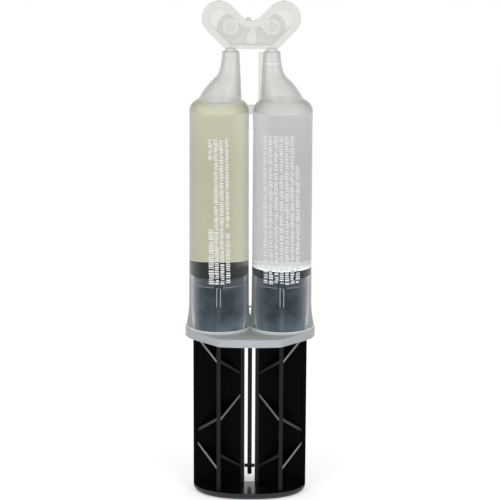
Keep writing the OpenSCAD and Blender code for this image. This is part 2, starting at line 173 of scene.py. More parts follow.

# Air film on the hardener's piston, whose white is a painted reflection that glows, white at the front
# and grey at the back
FILM_R = 8.77 * MM
FILM_DEPTH = 0.45 * MM
FILM_ROUND = 0.8 * FILM_DEPTH
FILM_RISE = 0.015 * MM
FILM_SHINE = 0.62
FILM_WHITE_TO, FILM_GREY_FROM = -2 * MM, 3 * MM
FILM_WHITE, FILM_GREY = "#F6F8F4", "#CDCFCC"

# Print: rows of plain ticks as (first x, height of the ticks, top, bottom), all in mm
LEFT_ROWS = (
    (-13.1, 1.25, 121.5, 114.3), (-13.15, 1.75, 91.9, 73.2), (-11.4, 1.3, 121.6, 73.3),
    (-9.6, 1.3, 121.2, 73.4), (-7.75, 1.0, 121.7, 92.2), (-7.7, 1.35, 90.6, 73.4),
)
RIGHT_ROWS = tuple((4.5 + 1.75 * row, 1.33, 122.6, 73.4) for row in range(6))
RIGHT_ROWS += ((15.0, 1.33, 112.8, 73.9),)
ROW_LEAN = 0.011
TICK_WIDTHS, TICK_GAP = (0.32, 0.45, 0.6), 0.24
TICK_SHARES = (1.0, 1.0, 1.0, 0.9, 0.75)
WORD_TICKS, WORD_GAP = (3, 8), 0.3
PRINT_SEED = 7
INK_LIFT = 0.05 * MM
INK_DEPTH = 0.03 * MM
INK_BASE, INK_GLOW = "#7E8080", 0.68
INK_START_Y = -14 * MM
INKS = {"left_print": ("#E2E4E0", "#E6E8E6"), "right_print": ("#D8DBDB", "#DFE5EC")}

# Studio, in metres and watts
CAMERA_TARGET = (-0.15 * MM, 0, 83 * MM)
FLOOR_SIZE, FLOOR_GAP = 8, 0.02 * MM
FLOOR_COLOUR, FLOOR_GLOW = "#F2F2F2", 0.42
LAMPS = ((-0.78, -1.03, 0.45), (0.78, -1.03, 0.45))
LAMP_SIZE, LAMP_POWER, LAMP_AIM_Z = 0.7, 4, 0.1


def linear(colour):
    """Linear RGB of an sRGB hex colour."""
    channels = [int(colour[i:i + 2], 16) / 255 for i in (1, 3, 5)]
    return tuple(c / 12.92 if c <= 0.04045 else ((c + 0.055) / 1.055) ** 2.4 for c in channels)


def rgba(colour):
    """A hex colour or a colour property with full opacity, for a shader's socket."""
    return (*(linear(colour) if isinstance(colour, str) else colour), 1.0)


# Sizes and colours that a user would change


class BarrelLook(bpy.types.PropertyGroup):
    clear_colour: bpy.props.FloatVectorProperty(
        name="Clear colour", description="What one wall of the barrel lets through",
        subtype="COLOR", default=linear("#F3F4F3"), min=0, max=1)
    thin_milk: bpy.props.FloatVectorProperty(
        name="Thin milk", description="Colour that a thin wall scatters back, seen over black",
        subtype="COLOR", default=linear("#8596A4"), min=0, max=1)
    thick_milk: bpy.props.FloatVectorProperty(
        name="Thick milk", description="Colour that the plastic scatters back where it is thick",
        subtype="COLOR", default=linear("#8F928F"), min=0, max=1)
    cap_milk: bpy.props.FloatVectorProperty(
        name="Cap milk", description="Colour of the cap's rim",
        subtype="COLOR", default=linear("#DBDDD8"), min=0, max=1)
    # Painted glow: this strength drives the glow that stands in for an empty wall's haze
    haze: bpy.props.FloatProperty(
        name="Haze", description="Strength of the haze that an empty wall shows head on",
        default=0.2, min=0, max=1)
    edge_haze: bpy.props.FloatProperty(
        name="Edge haze", description="Share of light that a wall scatters along its outline",
        default=0.92, min=0, max=1)
    edge_round: bpy.props.FloatProperty(
        name="Edge rounding", description="Rounding of the flange's edges",
        default=0.25 * MM, min=0, unit="LENGTH")


class PlungerLook(bpy.types.PropertyGroup):
    colour: bpy.props.FloatVectorProperty(
        name="Colour", description="Colour of the black plastic",
        subtype="COLOR", default=linear("#060508"), min=0, max=1)
    # Painted highlight: a lighter black for rounded edges, front ribs and inner lips, where the
    # plastic catches light
    edge_highlight_colour: bpy.props.FloatVectorProperty(
        name="Edge colour", description="Colour of the painted highlight on the black plastic's edges",
        subtype="COLOR", default=linear("#1F2124"), min=0, max=1)
    edge_round: bpy.props.FloatProperty(
        name="Edge rounding", description="Rounding of the ribs' and plate's edges",
        default=0.14 * MM, min=0, unit="LENGTH")


class ContentsLook(bpy.types.PropertyGroup):
    resin_colour: bpy.props.FloatVectorProperty(
        name="Resin colour", description="What the full barrel of resin lets through",
        subtype="COLOR", default=linear("#B9B49E"), min=0, max=1)
    hardener_colour: bpy.props.FloatVectorProperty(
        name="Hardener colour", description="What the full barrel of hardener lets through",
        subtype="COLOR", default=linear("#B8B9B6"), min=0, max=1)


class StageLook(bpy.types.PropertyGroup):
    elevation: bpy.props.FloatProperty(
        name="Elevation", description="Height of the camera above the horizon",
        subtype="ANGLE", default=math.radians(13))
    distance: bpy.props.FloatProperty(
        name="Distance", description="Distance from the camera to the syringe",
        default=0.622, min=0.1, unit="LENGTH")
    focal_length: bpy.props.FloatProperty(
        name="Focal length", description="Lens of the camera, in millimetres", default=135.7, min=20)
    roll: bpy.props.FloatProperty(
        name="Roll", description="Tilt of the camera about its line of sight",
        subtype="ANGLE", default=math.radians(0.25))
    ambient: bpy.props.FloatProperty(
        name="Ambient light", description="Strength of the light from all round", default=0.64, min=0)


# Mesh helpers


def only(obj):
    """Selects one object and nothing else."""
    if bpy.context.object and bpy.context.object.mode != "OBJECT":
        bpy.ops.object.mode_set(mode="OBJECT")
    bpy.ops.object.select_all(action="DESELECT")
    obj.select_set(True)
    bpy.context.view_layer.objects.active = obj


def edit(obj):
    """Opens an object in edit mode with all of it selected."""
    only(obj)
    bpy.ops.object.mode_set(mode="EDIT")
    bpy.ops.mesh.select_mode(type="VERT")
    bpy.ops.mesh.select_all(action="SELECT")


def leave_edit():
    bpy.ops.object.mode_set(mode="OBJECT")


def cut_at(obj, height, **sides):
    """Cuts an object through at a height, and closes or clears its sides as asked."""
    edit(obj)
    bpy.ops.mesh.bisect(plane_co=(0, 0, height), plane_no=(0, 0, 1), **sides)
    leave_edit()


def copy_of_node(node, name):
    """A merged copy of a solid's mesh, with its flat faces whole again."""
    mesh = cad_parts[node].data.copy()
    mesh.materials.clear()
    piece = bpy.data.objects.new(name, mesh)
    bpy.context.scene.collection.objects.link(piece)
    edit(piece)
    bpy.ops.mesh.customdata_custom_splitnormals_clear()
    bpy.ops.mesh.remove_doubles(threshold=MERGE_WITHIN)
    bpy.ops.mesh.dissolve_limited(angle_limit=FLAT_WITHIN)
    leave_edit()
    return piece


def select_edges(obj, wanted):
    """Selects the edges for which wanted(edge's ends, angle between its faces) is true."""
    faces = {}
    for polygon in obj.data.polygons:
        for key in polygon.edge_keys:
            faces.setdefault(key, []).append(polygon.normal)
    for item in (obj.data.vertices, obj.data.edges, obj.data.polygons):
        item.foreach_set("select", [False] * len(item))
    for edge in obj.data.edges:
        normals = faces.get(edge.key, [])
        if len(normals) != 2:
            continue
        angle = normals[0].angle(normals[1], 0)
        ends = [obj.data.vertices[i].co for i in edge.vertices]
        edge.select = wanted(ends, angle)


def bevel_edges(obj, wanted, width, slot=-1, segments=2):
    """Rounds the wanted edges, and gives their new faces a material slot."""
    only(obj)
    select_edges(obj, wanted)
    bpy.ops.object.mode_set(mode="EDIT")
    bpy.ops.mesh.select_mode(type="EDGE")
    bpy.ops.mesh.bevel(offset=width, segments=segments, affect="EDGES", clamp_overlap=True,
                       loop_slide=False, material=slot)
    leave_edit()


def smooth(obj, degrees=35):
    """Shades an object smooth apart from its sharp edges."""
    only(obj)
    bpy.ops.object.shade_smooth_by_angle(angle=math.radians(degrees))


def paint(obj, *materials):
    obj.data.materials.clear()
    for material in materials:
        obj.data.materials.append(material)


# Material helpers


def add(tree, kind, inputs=None, **settings):
    """Adds a node with its settings, and sets or links its inputs."""
    node = tree.nodes.new(kind)
    for key, value in settings.items():
        setattr(node, key, value)
    for key, value in (inputs or {}).items():
        if isinstance(value, bpy.types.NodeSocket):
            tree.links.new(value, node.inputs[key])
        else:
            node.inputs[key].default_value = value
    return node


def new_material(name):
    """An empty node material, as (material, node tree, output node)."""
    material = bpy.data.materials.new(name)
    material.use_nodes = True
    material.node_tree.nodes.clear()
    output = add(material.node_tree, "ShaderNodeOutputMaterial")
    return material, material.node_tree, output


def calc(tree, operation, *values):
    """The result of a calculation with numbers or sockets."""
    return add(tree, "ShaderNodeMath", dict(enumerate(values)), operation=operation).outputs[0]


def fade(tree, value, start, end, low=0.0, high=1.0, smooth_ends=True):
    """Goes from low to high while a value goes from start to end, and stays there."""
    return add(tree, "ShaderNodeMapRange",
               {"Value": value, "From Min": start, "From Max": end, "To Min": low, "To Max": high},
               interpolation_type="SMOOTHSTEP" if smooth_ends else "LINEAR").outputs[0]


def blend(tree, share, first, second, way="MIX"):
    """A colour that goes from the first to the second as the share grows."""
    return add(tree, "ShaderNodeMix", {"Factor": share, "A": first, "B": second},
               data_type="RGBA", blend_type=way).outputs["Result"]


def surface(tree, colour, roughness, more=None):
    """A surface that refracts as polypropylene does, unless more says otherwise."""
    inputs = {"Base Color": colour, "Roughness": roughness, "IOR": PLASTIC_IOR, **(more or {})}
    return add(tree, "ShaderNodeBsdfPrincipled", inputs).outputs[0]


def either(tree, share, first, second):
    """Two shaders mixed: all of the first where the share is 0."""
    return add(tree, "ShaderNodeMixShader", {0: share, 1: first, 2: second}).outputs[0]


def show(tree, output, shader):
    """Ends a material or world with its shader."""
    tree.links.new(shader, output.inputs["Surface"])


def letting_lamps_through(tree, shader, passed):
    """The shader for what is seen, and plain see-through for light on its way to what lies behind."""
    path = add(tree, "ShaderNodeLightPath").outputs
    lamp = calc(tree, "MAXIMUM", path["Is Shadow Ray"], path["Is Diffuse Ray"])
    through = add(tree, "ShaderNodeBsdfTransparent", {"Color": rgba(passed)}).outputs[0]
    return either(tree, lamp, shader, through)


def looked_at(tree):
    """1 for a line of sight, also one through clear plastic or by a reflection, else 0."""
    path = add(tree, "ShaderNodeLightPath").outputs
    sight = calc(tree, "MAXIMUM", path["Is Camera Ray"], path["Is Transmission Ray"])
    return calc(tree, "MAXIMUM", sight, path["Is Glossy Ray"])


def off_head_on(tree):
    """0 where a face is looked at head on, and 1 along its outline."""
    return add(tree, "ShaderNodeLayerWeight", {"Blend": 0.5}).outputs["Facing"]


def point_of(tree):
    """The point that is shaded, as a vector and as its X, Y and Z."""
    place = add(tree, "ShaderNodeTexCoord").outputs["Object"]
    return place, add(tree, "ShaderNodeSeparateXYZ", {0: place}).outputs


def milky_polypropylene(name, clear, thin_milk, thick_milk, haze, edge_haze,
                        roughness=0.0, haze_glow=0.0, foot=0.0, slit=0.0):
    """Injection-moulded natural polypropylene: clear as wet glass, milky towards its outline.

    haze_glow is the strength of the painted glow, in the milk's tint, that stands in for the even haze
    the wall shows head on, foot the same painted glow at the foot of its flare, broken into patches by
    noise, and slit the painted light that the other barrel adds to it.
    """
    material, tree, output = new_material(name)
    depth = fade(tree, off_head_on(tree), MILK_FROM, MILK_TO)
    scatter = fade(tree, depth, 0, 1, haze, edge_haze, smooth_ends=False)
    tint = blend(tree, depth, rgba(thin_milk), rgba(thick_milk))
    place, axes = point_of(tree)
    # Painted light: the strength of the glow that the glass gives off
    glow = haze_glow
    if foot:
        # Painted glow near the foot of the flare, broken into patches by noise
        patch_noise = add(tree, "ShaderNodeTexNoise",
                     {"Vector": place, "Scale": GLOW_PATCHES_PER_METRE, "Detail": 4}).outputs[0]
        patchiness = fade(tree, patch_noise, PATCH_FROM, PATCH_TO, LEAST_GLOW, MOST_GLOW, smooth_ends=False)
        near = fade(tree, axes["Z"], FOOT_GLOW_TOP, FOOT_HIGH, haze_glow, foot)
        glow = calc(tree, "MULTIPLY", near, patchiness)
    if slit:
        across = calc(tree, "ABSOLUTE", axes["X"])
        near = fade(tree, across, SLIT_LIGHT_FROM, SLIT_LIGHT_FULL)
        over_crown = fade(tree, axes["Z"], PISTON_HIGH.z, PISTON_HIGH.z + SLIT_LIGHT_RISE,
                          smooth_ends=False)
        near = calc(tree, "MULTIPLY", near, over_crown)
        top = fade(tree, axes["Z"], TOP_LIGHT_FROM, SHOULDER_Z, haze_glow, haze_glow + TOP_LIGHT,
                   smooth_ends=False)
        glow = calc(tree, "MULTIPLY_ADD", near, slit, top)
    milk = surface(tree, tint, 0.35, {"Specular IOR Level": 0.3})
    # The glass glows in the milk's tint: painted light in place of the wall's haze
    glass = surface(tree, rgba(clear), roughness,
                    {"Specular Tint": rgba(WALL_SHINE), "Transmission Weight": 1.0,
                     "Emission Color": tint, "Emission Strength": glow})
    wall = either(tree, scatter, glass, milk)
    show(tree, output, letting_lamps_through(tree, wall, clear))
    return material


def head_polypropylene(name, clear, liquid, liquid_edge, meniscus):
    """Shoulder and funnel: milky over air, tinted below the liquid's line, the bore's side showing as
    a painted dark line and, where asked, the meniscus as a painted highlight.
    """
    material, tree, output = new_material(name)
    axes = point_of(tree)[1]
    across = calc(tree, "ABSOLUTE", axes["X"])
    off_axis = calc(tree, "SUBTRACT", across, BARREL_X - FOOT_LINE_X)
    line = calc(tree, "MULTIPLY_ADD", calc(tree, "POWER", off_axis, 2), FOOT_LINE_SAG, FOOT_LINE_Z)
    dry = fade(tree, calc(tree, "SUBTRACT", axes["Z"], line), FOOT_LINE_FROM, FOOT_LINE_TO)
    facing = off_head_on(tree)
    depth = fade(tree, facing, MILK_FROM, MILK_TO)
    inside = fade(tree, axes["Z"], SHOULDER_TOP, TIP_Z, BORE_LINE_FOOT, BORE_LINE_TIP,
                  smooth_ends=False)
    away = calc(tree, "ABSOLUTE", calc(tree, "SUBTRACT", facing, inside))
    bore_line = fade(tree, away, BORE_LINE_FROM, BORE_LINE_TO, BORE_LINE_SHADE, 1)
    on_funnel = fade(tree, axes["Z"], AIR_FROM, AIR_TO, smooth_ends=False)
    edge = calc(tree, "MULTIPLY", on_funnel, depth)
    air = blend(tree, edge, rgba(AIR_MILK), rgba(AIR_EDGE_MILK))
    air = blend(tree, on_funnel, air, bore_line, "MULTIPLY")
    if meniscus:
        level = calc(tree, "ABSOLUTE", calc(tree, "SUBTRACT", axes["Z"], MENISCUS_Z))
        shine = fade(tree, level, MENISCUS_FROM, MENISCUS_TO, 1, 0, smooth_ends=False)
        middle = fade(tree, facing, MENISCUS_WIDE, MENISCUS_ENDS, 1, 0, smooth_ends=False)
        air = blend(tree, calc(tree, "MULTIPLY", shine, middle), air, rgba(MENISCUS_SHINE))
    wet = blend(tree, depth, rgba(liquid), rgba(liquid_edge))
    milk = surface(tree, blend(tree, dry, wet, air), 0.3)
    glass = surface(tree, rgba(clear), 0.1,
                    {"Specular Tint": rgba(HEAD_SHINE), "Transmission Weight": 1.0})
    wall = either(tree, HEAD_MILK_SHARE, glass, milk)
    show(tree, output, letting_lamps_through(tree, wall, clear))
    return material


def cap_floor_polypropylene(name, look):
    """The cap's milky web with painted light and shade: brightest in the socket grooves and in a
    painted crescent of light outside the bosses, darker in painted shade round them.
    """
    material, tree, output = new_material(name)
    # Both sides are mirrored onto the right one, and measured from its socket
    vector = point_of(tree)[0]
    for operation, second in (("MULTIPLY", (1, 0, 1)), ("ABSOLUTE", (0, 0, 0)),
                              ("SUBTRACT", (NOZZLE_X, 0, SOCKET_Z))):
        vector = add(tree, "ShaderNodeVectorMath", {0: vector, 1: second},
                     operation=operation).outputs[0]
    reach = add(tree, "ShaderNodeVectorMath", {0: vector}, operation="LENGTH").outputs["Value"]
    ramp = add(tree, "ShaderNodeValToRGB", {"Fac": calc(tree, "DIVIDE", reach, SOCKET_REACH)})
    bands = ramp.color_ramp.elements
    bands[0].position, bands[1].position = 0.0, 1.0
    for radius, colour in SOCKET_BANDS:
        band = bands.new(radius * MM / SOCKET_REACH)
        band.color = rgba(colour)
    bands[0].color = bands[1].color
    bands[-1].color = bands[-2].color
    along = add(tree, "ShaderNodeVectorMath", {0: vector, 1: CRESCENT_WAY},
                operation="DOT_PRODUCT").outputs["Value"]
    # Painted light: the floor brightens towards the side that the light comes from
    lit = fade(tree, along, CRESCENT_NEAR, CRESCENT_FAR)
    open_floor = blend(tree, lit, rgba(OPEN_FLOOR), rgba(CRESCENT))
    outside = fade(tree, reach, CRESCENT_FROM, CRESCENT_FULL)
    milk = surface(tree, blend(tree, outside, ramp.outputs["Color"], open_floor), 0.35)
    show(tree, output, letting_lamps_through(tree, milk, look.cap_milk))
    return material


def thin_web_polypropylene(name, colour, glow):
    """Plastic so thin that the light behind it shines through, as in the sockets' grooves."""
    material, tree, output = new_material(name)
    web = surface(tree, rgba(colour), 0.4,
                  {"Emission Color": rgba(colour), "Emission Strength": glow})
    show(tree, output, letting_lamps_through(tree, web, colour))
    return material


def wetted_wall(name):
    """Where a wall touches liquid of its own index, the surface between them can't be seen."""
    material, tree, output = new_material(name)
    clear = add(tree, "ShaderNodeBsdfTransparent", {"Color": rgba("#FFFFFF")})
    show(tree, output, clear.outputs[0])
    return material


def liquid_body(name, colour):
    """Clear liquid against its wall: it bends nothing, and tints what is seen through it."""
    material, tree, output = new_material(name)
    leaving = add(tree, "ShaderNodeNewGeometry").outputs["Backfacing"]
    tint = blend(tree, leaving, rgba("#FFFFFF"), rgba(colour))
    clear = add(tree, "ShaderNodeBsdfTransparent", {"Color": tint})
    show(tree, output, clear.outputs[0])
    return material


def black_polypropylene(name, colour, roughness, shine):
    """Injection-moulded black plastic: deep black head on, with a shine that grows at low angles."""
    material, tree, output = new_material(name)
    show(tree, output, surface(tree, rgba(colour), roughness, {"Specular IOR Level": shine}))
    return material


# Pieces


def in_bore(polygon):
    """True for a face that lines a barrel, its dome, its funnel or its nozzle."""
    centre, normal = polygon.center, polygon.normal
    side = 1 if centre.x > 0 else -1
    if centre.z > BORE_TOP_Z:
        return False
    if centre.z < DOME_Z:
        axis = Vector((side * BARREL_X, 0, centre.z))
        return (centre - axis).length < WALL_MIDDLE_R and normal.dot(centre - axis) < 0
    if centre.z < DOME_TOP_Z:
        axis = Vector((side * BARREL_X, 0, DOME_CENTRE_Z))
        return normal.dot(centre - axis) < 0
    rise = min((centre.z - SHOULDER_TOP) / (TIP_Z - SHOULDER_TOP) / FUNNEL_SWEEP, 1)
    foot_x = BARREL_X - FUNNEL_SHIFT
    axis_x = foot_x + (NOZZLE_X - foot_x) * max(rise, 0)
    axis = Vector((side * axis_x, 0, centre.z))
    return normal.dot(centre - axis) < 0


class SYRINGE_OT_barrel(bpy.types.Operator):
    """Double barrel with its flange, nozzles and snap-off cap"""
    bl_idname = "syringe.barrel"
    bl_label = "Barrel moulding"

    def execute(self, context):
        look = context.scene.syringe_barrel
        clear, thin, thick = look.clear_colour, look.thin_milk, look.thick_milk
        white, khaki, pale = (1, 1, 1), linear("#989F98"), linear("#A2A6A8")
        kinds = {
            "dry_wall": milky_polypropylene(
                "polypropylene_wall", clear, thin, thick, 0.0, look.edge_haze,
                haze_glow=look.haze, foot=0.4),
            "resin_wall": milky_polypropylene(
                "polypropylene_over_resin", clear, khaki, khaki, 0.0, 0.3, haze_glow=0.12, slit=0.22),
            "hardener_wall": milky_polypropylene(
                "polypropylene_over_hardener", clear, pale, pale, 0.0, 0.24, haze_glow=0.08, slit=0.2),
            "resin_head": head_polypropylene(
                "polypropylene_resin_head", clear, linear("#D3D2B8"), linear("#B5B49C"), False),
            "hardener_head": head_polypropylene(
                "polypropylene_hardener_head", clear, linear("#D1D3CF"), linear("#B8BBB8"), True),
            "dry_bore": milky_polypropylene(
                "polypropylene_dry_bore", white, thin, thick, 0.0, 0.1),
            "wetted_bore": wetted_wall("polypropylene_wetted_bore"),
            "thick": milky_polypropylene(
                "polypropylene_thick", clear, linear("#C4CAD0"), linear("#A9ACA9"), 0.8, 0.95),
            "lit_foot": milky_polypropylene(
                "polypropylene_lit_foot", clear, linear("#F0F0EA"), linear("#F0F0EA"), 0.92, 0.95),
            "fin": milky_polypropylene(
                "polypropylene_fin", clear, linear("#E4E6E0"), linear("#C8CBC6"), 0.85, 0.95),
            "cap": milky_polypropylene(
                "polypropylene_cap", clear, look.cap_milk, linear("#B9BCB9"), 0.88, 0.95, 0.1),
            "cap_back": milky_polypropylene(
                "polypropylene_cap_back", white, look.cap_milk, look.cap_milk, 0.1, 0.5, 0.1),
            "cap_floor": cap_floor_polypropylene("polypropylene_cap_floor", look),
            "cap_groove": thin_web_polypropylene(
                "polypropylene_cap_groove", linear("#E4E5E1"), 0.34),
        }
        piece = copy_of_node("double_barrel", "barrel_moulding")
        for level in (WIPER_Z, FOOT_LOW, FOOT_HIGH):
            cut_at(piece, level)
        bevel_edges(piece, on_outer_edge, look.edge_round)
        paint(piece, *kinds.values())
        slots = {kind: number for number, kind in enumerate(kinds)}
        for polygon in piece.data.polygons:
            polygon.material_index = slots[wall_kind(polygon)]
        smooth(piece)
        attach(piece, "barrel")
        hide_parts("double_barrel")
        return {"FINISHED"}


def on_outer_edge(ends, angle):
    """True for the flange's outer edges, apart from the narrow lip round the foot of each flare."""
    middle = (ends[0] + ends[1]) / 2
    reach = math.hypot(abs(middle.x) - BARREL_X, middle.y)
    foot = FLARE_FOOT_R if middle.z > FLANGE_TOP - MM else FLANGE_MOUTH_R
    return angle > FLANGE_SHARP and middle.z < FLANGE_TOP + TOUCHING and reach > foot


def in_fin(x, z):
    """True beside the right nozzle, where only the cap's key fin can be."""
    rise = (z - SHOULDER_TOP) / (TIP_Z - SHOULDER_TOP)
    return 0 < x < FUNNEL_FOOT_X + (FUNNEL_TOP_X - FUNNEL_FOOT_X) * rise - BESIDE


def wall_kind(polygon):
    """Which part of the barrel moulding a face belongs to."""
    x, y, z = polygon.center
    if in_bore(polygon):
        wet_top = RESIN_HIGH.z if x < 0 else HARDENER_HIGH.z
        return "wetted_bore" if WIPER_Z < z < wet_top else "dry_bore"
    if z < FOOT_LOW:
        return "thick"
    if z < FOOT_HIGH:
        return "lit_foot"
    if z < WIPER_Z:
        return "dry_wall"
    liquid = "resin" if x < 0 else "hardener"
    if abs(y) < WEB_DEPTH and z < TIP_Z:
        in_web = abs(x) < WEB_HALF and abs(polygon.normal.x) < LEANING
        if in_web or z > SHOULDER_TOP and in_fin(x, z):
            return "fin"
    if z < SHOULDER_Z:
        return liquid + "_wall"
    if z < HEAD_TOP_Z:
        return liquid + "_head"
    if polygon.normal.y > LEANING:
        return "cap_back"
    reach = math.hypot(abs(x) - NOZZLE_X, z - SOCKET_Z)
    if y > CAP_GROOVE and reach < SOCKET_CLEAR:
        return "cap_groove"
    inset = y > CAP_FRONT + NEAR and polygon.normal.y < -FACING
    return "cap_floor" if inset else "cap"


def brace_front(polygon):
    """1 for the slanting front of a brace that rises outwards, -1 for one that falls, else 0."""
    centre, normal = polygon.center, polygon.normal
    if normal.y > -SLANTED or abs(normal.x) < SLANTED or centre.z > FLANGE_TOP:
        return 0
    side = 1 if centre.x > 0 else -1
    across = (centre.x * side - BARREL_X) / MM
    for direction, height, rise in BRACES:
        along = across * direction - RIB_HALF
        middle = height - BRACE_HALF + rise * along / BRACE_RUN
        if 0 < along < BRACE_RUN and abs(centre.z / MM - middle) < BRACE_NEAR:
            return 1 if rise > 0 else -1
    return 0


def on_edge_line(polygon):
    """True for the faces of the front ribs and of the inner lips that get the painted edge highlight.
    """
    x, y, z = polygon.center
    if polygon.normal.y > -FACING or not PLATE_RIM_TOP < z < FLANGE_TOP:
        return False
    return y < RIB_FRONT or BARREL_X - abs(x) > LIP_FROM


def on_plate_rim(polygon):
    """True for the front of the thumb plate's rim."""
    normal = polygon.normal
    return polygon.center.z < PLATE_RIM_TOP and normal.y < -LEANING and abs(normal.z) < FACING


def on_lit_rib(ends, angle):
    """True for the front edges of the ribs next to the pistons, where the bore's wall lights them."""
    return angle > PLUNGER_SHARP and all(
        abs(abs(abs(end.x) - BARREL_X) - RIB_HALF * MM) < BESIDE and end.y < RIB_FRONT
        and FLARE_TOP - TOUCHING < end.z < ROD_TOP + TOUCHING for end in ends)


def on_highlit_edge(ends, angle):
    """True for every other sharp edge of the plunger, whose rounding gets the painted edge highlight.
    """
    return angle > PLUNGER_SHARP and not on_lit_rib(ends, angle)


class SYRINGE_OT_plunger(bpy.types.Operator):
    """Two ribbed rods on their thumb plate"""
    bl_idname = "syringe.plunger"
    bl_label = "Plunger moulding"

    def execute(self, context):
        look = context.scene.syringe_plunger
        piece = copy_of_node("plunger", "plunger_moulding")
        # Painted highlights: lighter copies of the black plastic for the edges, light grey for braces
        # rising outwards, dim grey for falling braces and the plate's rim, near white for the ribs by
        # the pistons
        paint(
            piece,
            black_polypropylene("black_polypropylene", look.colour, 0.3, 0.03),
            black_polypropylene("black_polypropylene_painted_highlight", look.edge_highlight_colour, 0.4, 0.1),
            black_polypropylene("black_polypropylene_lit_brace", "#7B7E80", 0.4, 0.3),
            black_polypropylene("black_polypropylene_dim_highlight", "#292B2E", 0.4, 0.3),
            black_polypropylene("black_polypropylene_plate", "#0B0A0F", 0.2, 0.9),
            black_polypropylene("black_polypropylene_lit_rib", "#D4D7D6", 0.4, 0.3),
        )
        cut_at(piece, FLARE_TOP)
        bevel_edges(piece, on_lit_rib, LIT_EDGE, LIT_RIB_SLOT)
        bevel_edges(piece, on_highlit_edge, look.edge_round, EDGE_SLOT)
        # Painted highlights go on the braces, the plate's rim, the front ribs and the inner lips
        for polygon in piece.data.polygons:
            slant = brace_front(polygon)
            if slant:
                polygon.material_index = LIT_BRACE_SLOT if slant > 0 else BRACE_SLOT
            elif on_plate_rim(polygon):
                polygon.material_index = BRACE_SLOT
            elif on_edge_line(polygon):
                polygon.material_index = EDGE_SLOT
            elif polygon.normal.z > FACING and polygon.center.z < PLATE_TOP:
                polygon.material_index = PLATE_SLOT
        smooth(piece)
        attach(piece, "plunger")
        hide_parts("plunger")
        return {"FINISHED"}


class SYRINGE_OT_pistons(bpy.types.Operator):
    """A wiping piston on each rod"""
    bl_idname = "syringe.pistons"
    bl_label = "Pistons"

    def execute(self, context):
        look = context.scene.syringe_plunger
        crown = black_polypropylene("black_polyethylene", look.colour, 0.4, 0.0)
        skirt = black_polypropylene("black_polyethylene_skirt", "#2F3032", 0.6, 0.1)
        lip = black_polypropylene("black_polyethylene_lit_lip", "#C2C6C6", 0.4, 0.2)
        for node, name in (("resin_piston", "left_piston"), ("hardener_piston", "right_piston")):
            piece = copy_of_node(node, name)
            paint(piece, crown, skirt, lip)
            bevel_edges(piece, lambda ends, angle: angle > PISTON_SHARP, look.edge_round)
            for polygon in piece.data.polygons:
                centre = polygon.center
                reach = math.hypot(abs(centre.x) - BARREL_X, centre.y)
                if centre.z < LIT_LIP_TOP and reach > LIT_LIP_R:
                    polygon.material_index = LIT_LIP_SLOT
                elif centre.z < WIPER_Z:
                    polygon.material_index = SKIRT_SLOT
                else:
                    polygon.material_index = CROWN_SLOT
            smooth(piece)
            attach(piece, "plunger")
            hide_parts(node)
        self.add_air_film()
        return {"FINISHED"}

    def add_air_film(self):
        """Air trapped on the hardener's piston, which shows white through the liquid as a painted
        reflection that glows.
        """
        low, high = PISTON_HIGH.z - FILM_DEPTH, PISTON_HIGH.z + FILM_RISE
        bpy.ops.object.select_all(action="DESELECT")
        bpy.ops.mesh.primitive_cylinder_add(
            vertices=96, radius=FILM_R, depth=high - low, location=(BARREL_X, 0, (low + high) / 2))
        film = bpy.context.object
        film.name = "trapped_air"
        bpy.ops.object.transform_apply(location=True)
        bevel_edges(film, lambda ends, angle: all(end.z > high - TOUCHING for end in ends),
                    FILM_ROUND, segments=3)
        material, tree, output = new_material("trapped_air")
        back = fade(tree, point_of(tree)[1]["Y"], FILM_WHITE_TO, FILM_GREY_FROM)
        tint = blend(tree, back, rgba(FILM_WHITE), rgba(FILM_GREY))
        air = surface(tree, tint, 0.3,
                      {"IOR": 1.3, "Emission Color": tint, "Emission Strength": FILM_SHINE})
        show(tree, output, air)
        paint(film, material)
        smooth(film)
        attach(film, "plunger")


class SYRINGE_OT_stick(bpy.types.Operator):
    """Snap-off stir stick between the rods"""
    bl_idname = "syringe.stick"
    bl_label = "Stir stick"

    def execute(self, context):
        look = context.scene.syringe_plunger
        piece = copy_of_node("stir_stick", "stirring_stick")
        # The stick's rounded edges get the painted edge highlight
        paint(piece,
              black_polypropylene("black_polypropylene_stick", look.colour, 0.3, 0.2),
              black_polypropylene("black_polypropylene_stick_painted_highlight", look.edge_highlight_colour, 0.35, 0.3))
        bevel_edges(piece, lambda ends, angle: angle > STICK_SHARP, STICK_ROUND, EDGE_SLOT)
        smooth(piece)
        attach(piece, "barrel")
        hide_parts("stir_stick")
        return {"FINISHED"}


def split_fill(node, column_name, crown_name):
    """The liquid below and above the top of the stroke, as two closed pieces."""
    halves = []
    for name, keep_low in ((column_name, True), (crown_name, False)):
        piece = copy_of_node(node, name)
        cut_at(piece, DOME_Z, use_fill=True, clear_outer=keep_low, clear_inner=not keep_low)
        halves.append(piece)
    return halves


def finish_liquid(pieces, node, body, clear):
    """Gives the parts of one liquid their materials, and gives the column a mesh of its own."""
    low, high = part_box(node)
    for piece in pieces:
        paint(piece, body, clear)
        for polygon in piece.data.polygons:
            ends = any(abs(polygon.center.z - level) < NEAR for level in (low.z, DOME_Z, high.z))
            if ends and abs(polygon.normal.z) > LEVEL:
                polygon.material_index = CONTACT_SLOT
        smooth(piece, 50)
        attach(piece, "barrel")
    column, crown = pieces
    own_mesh(column)
    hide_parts(node)


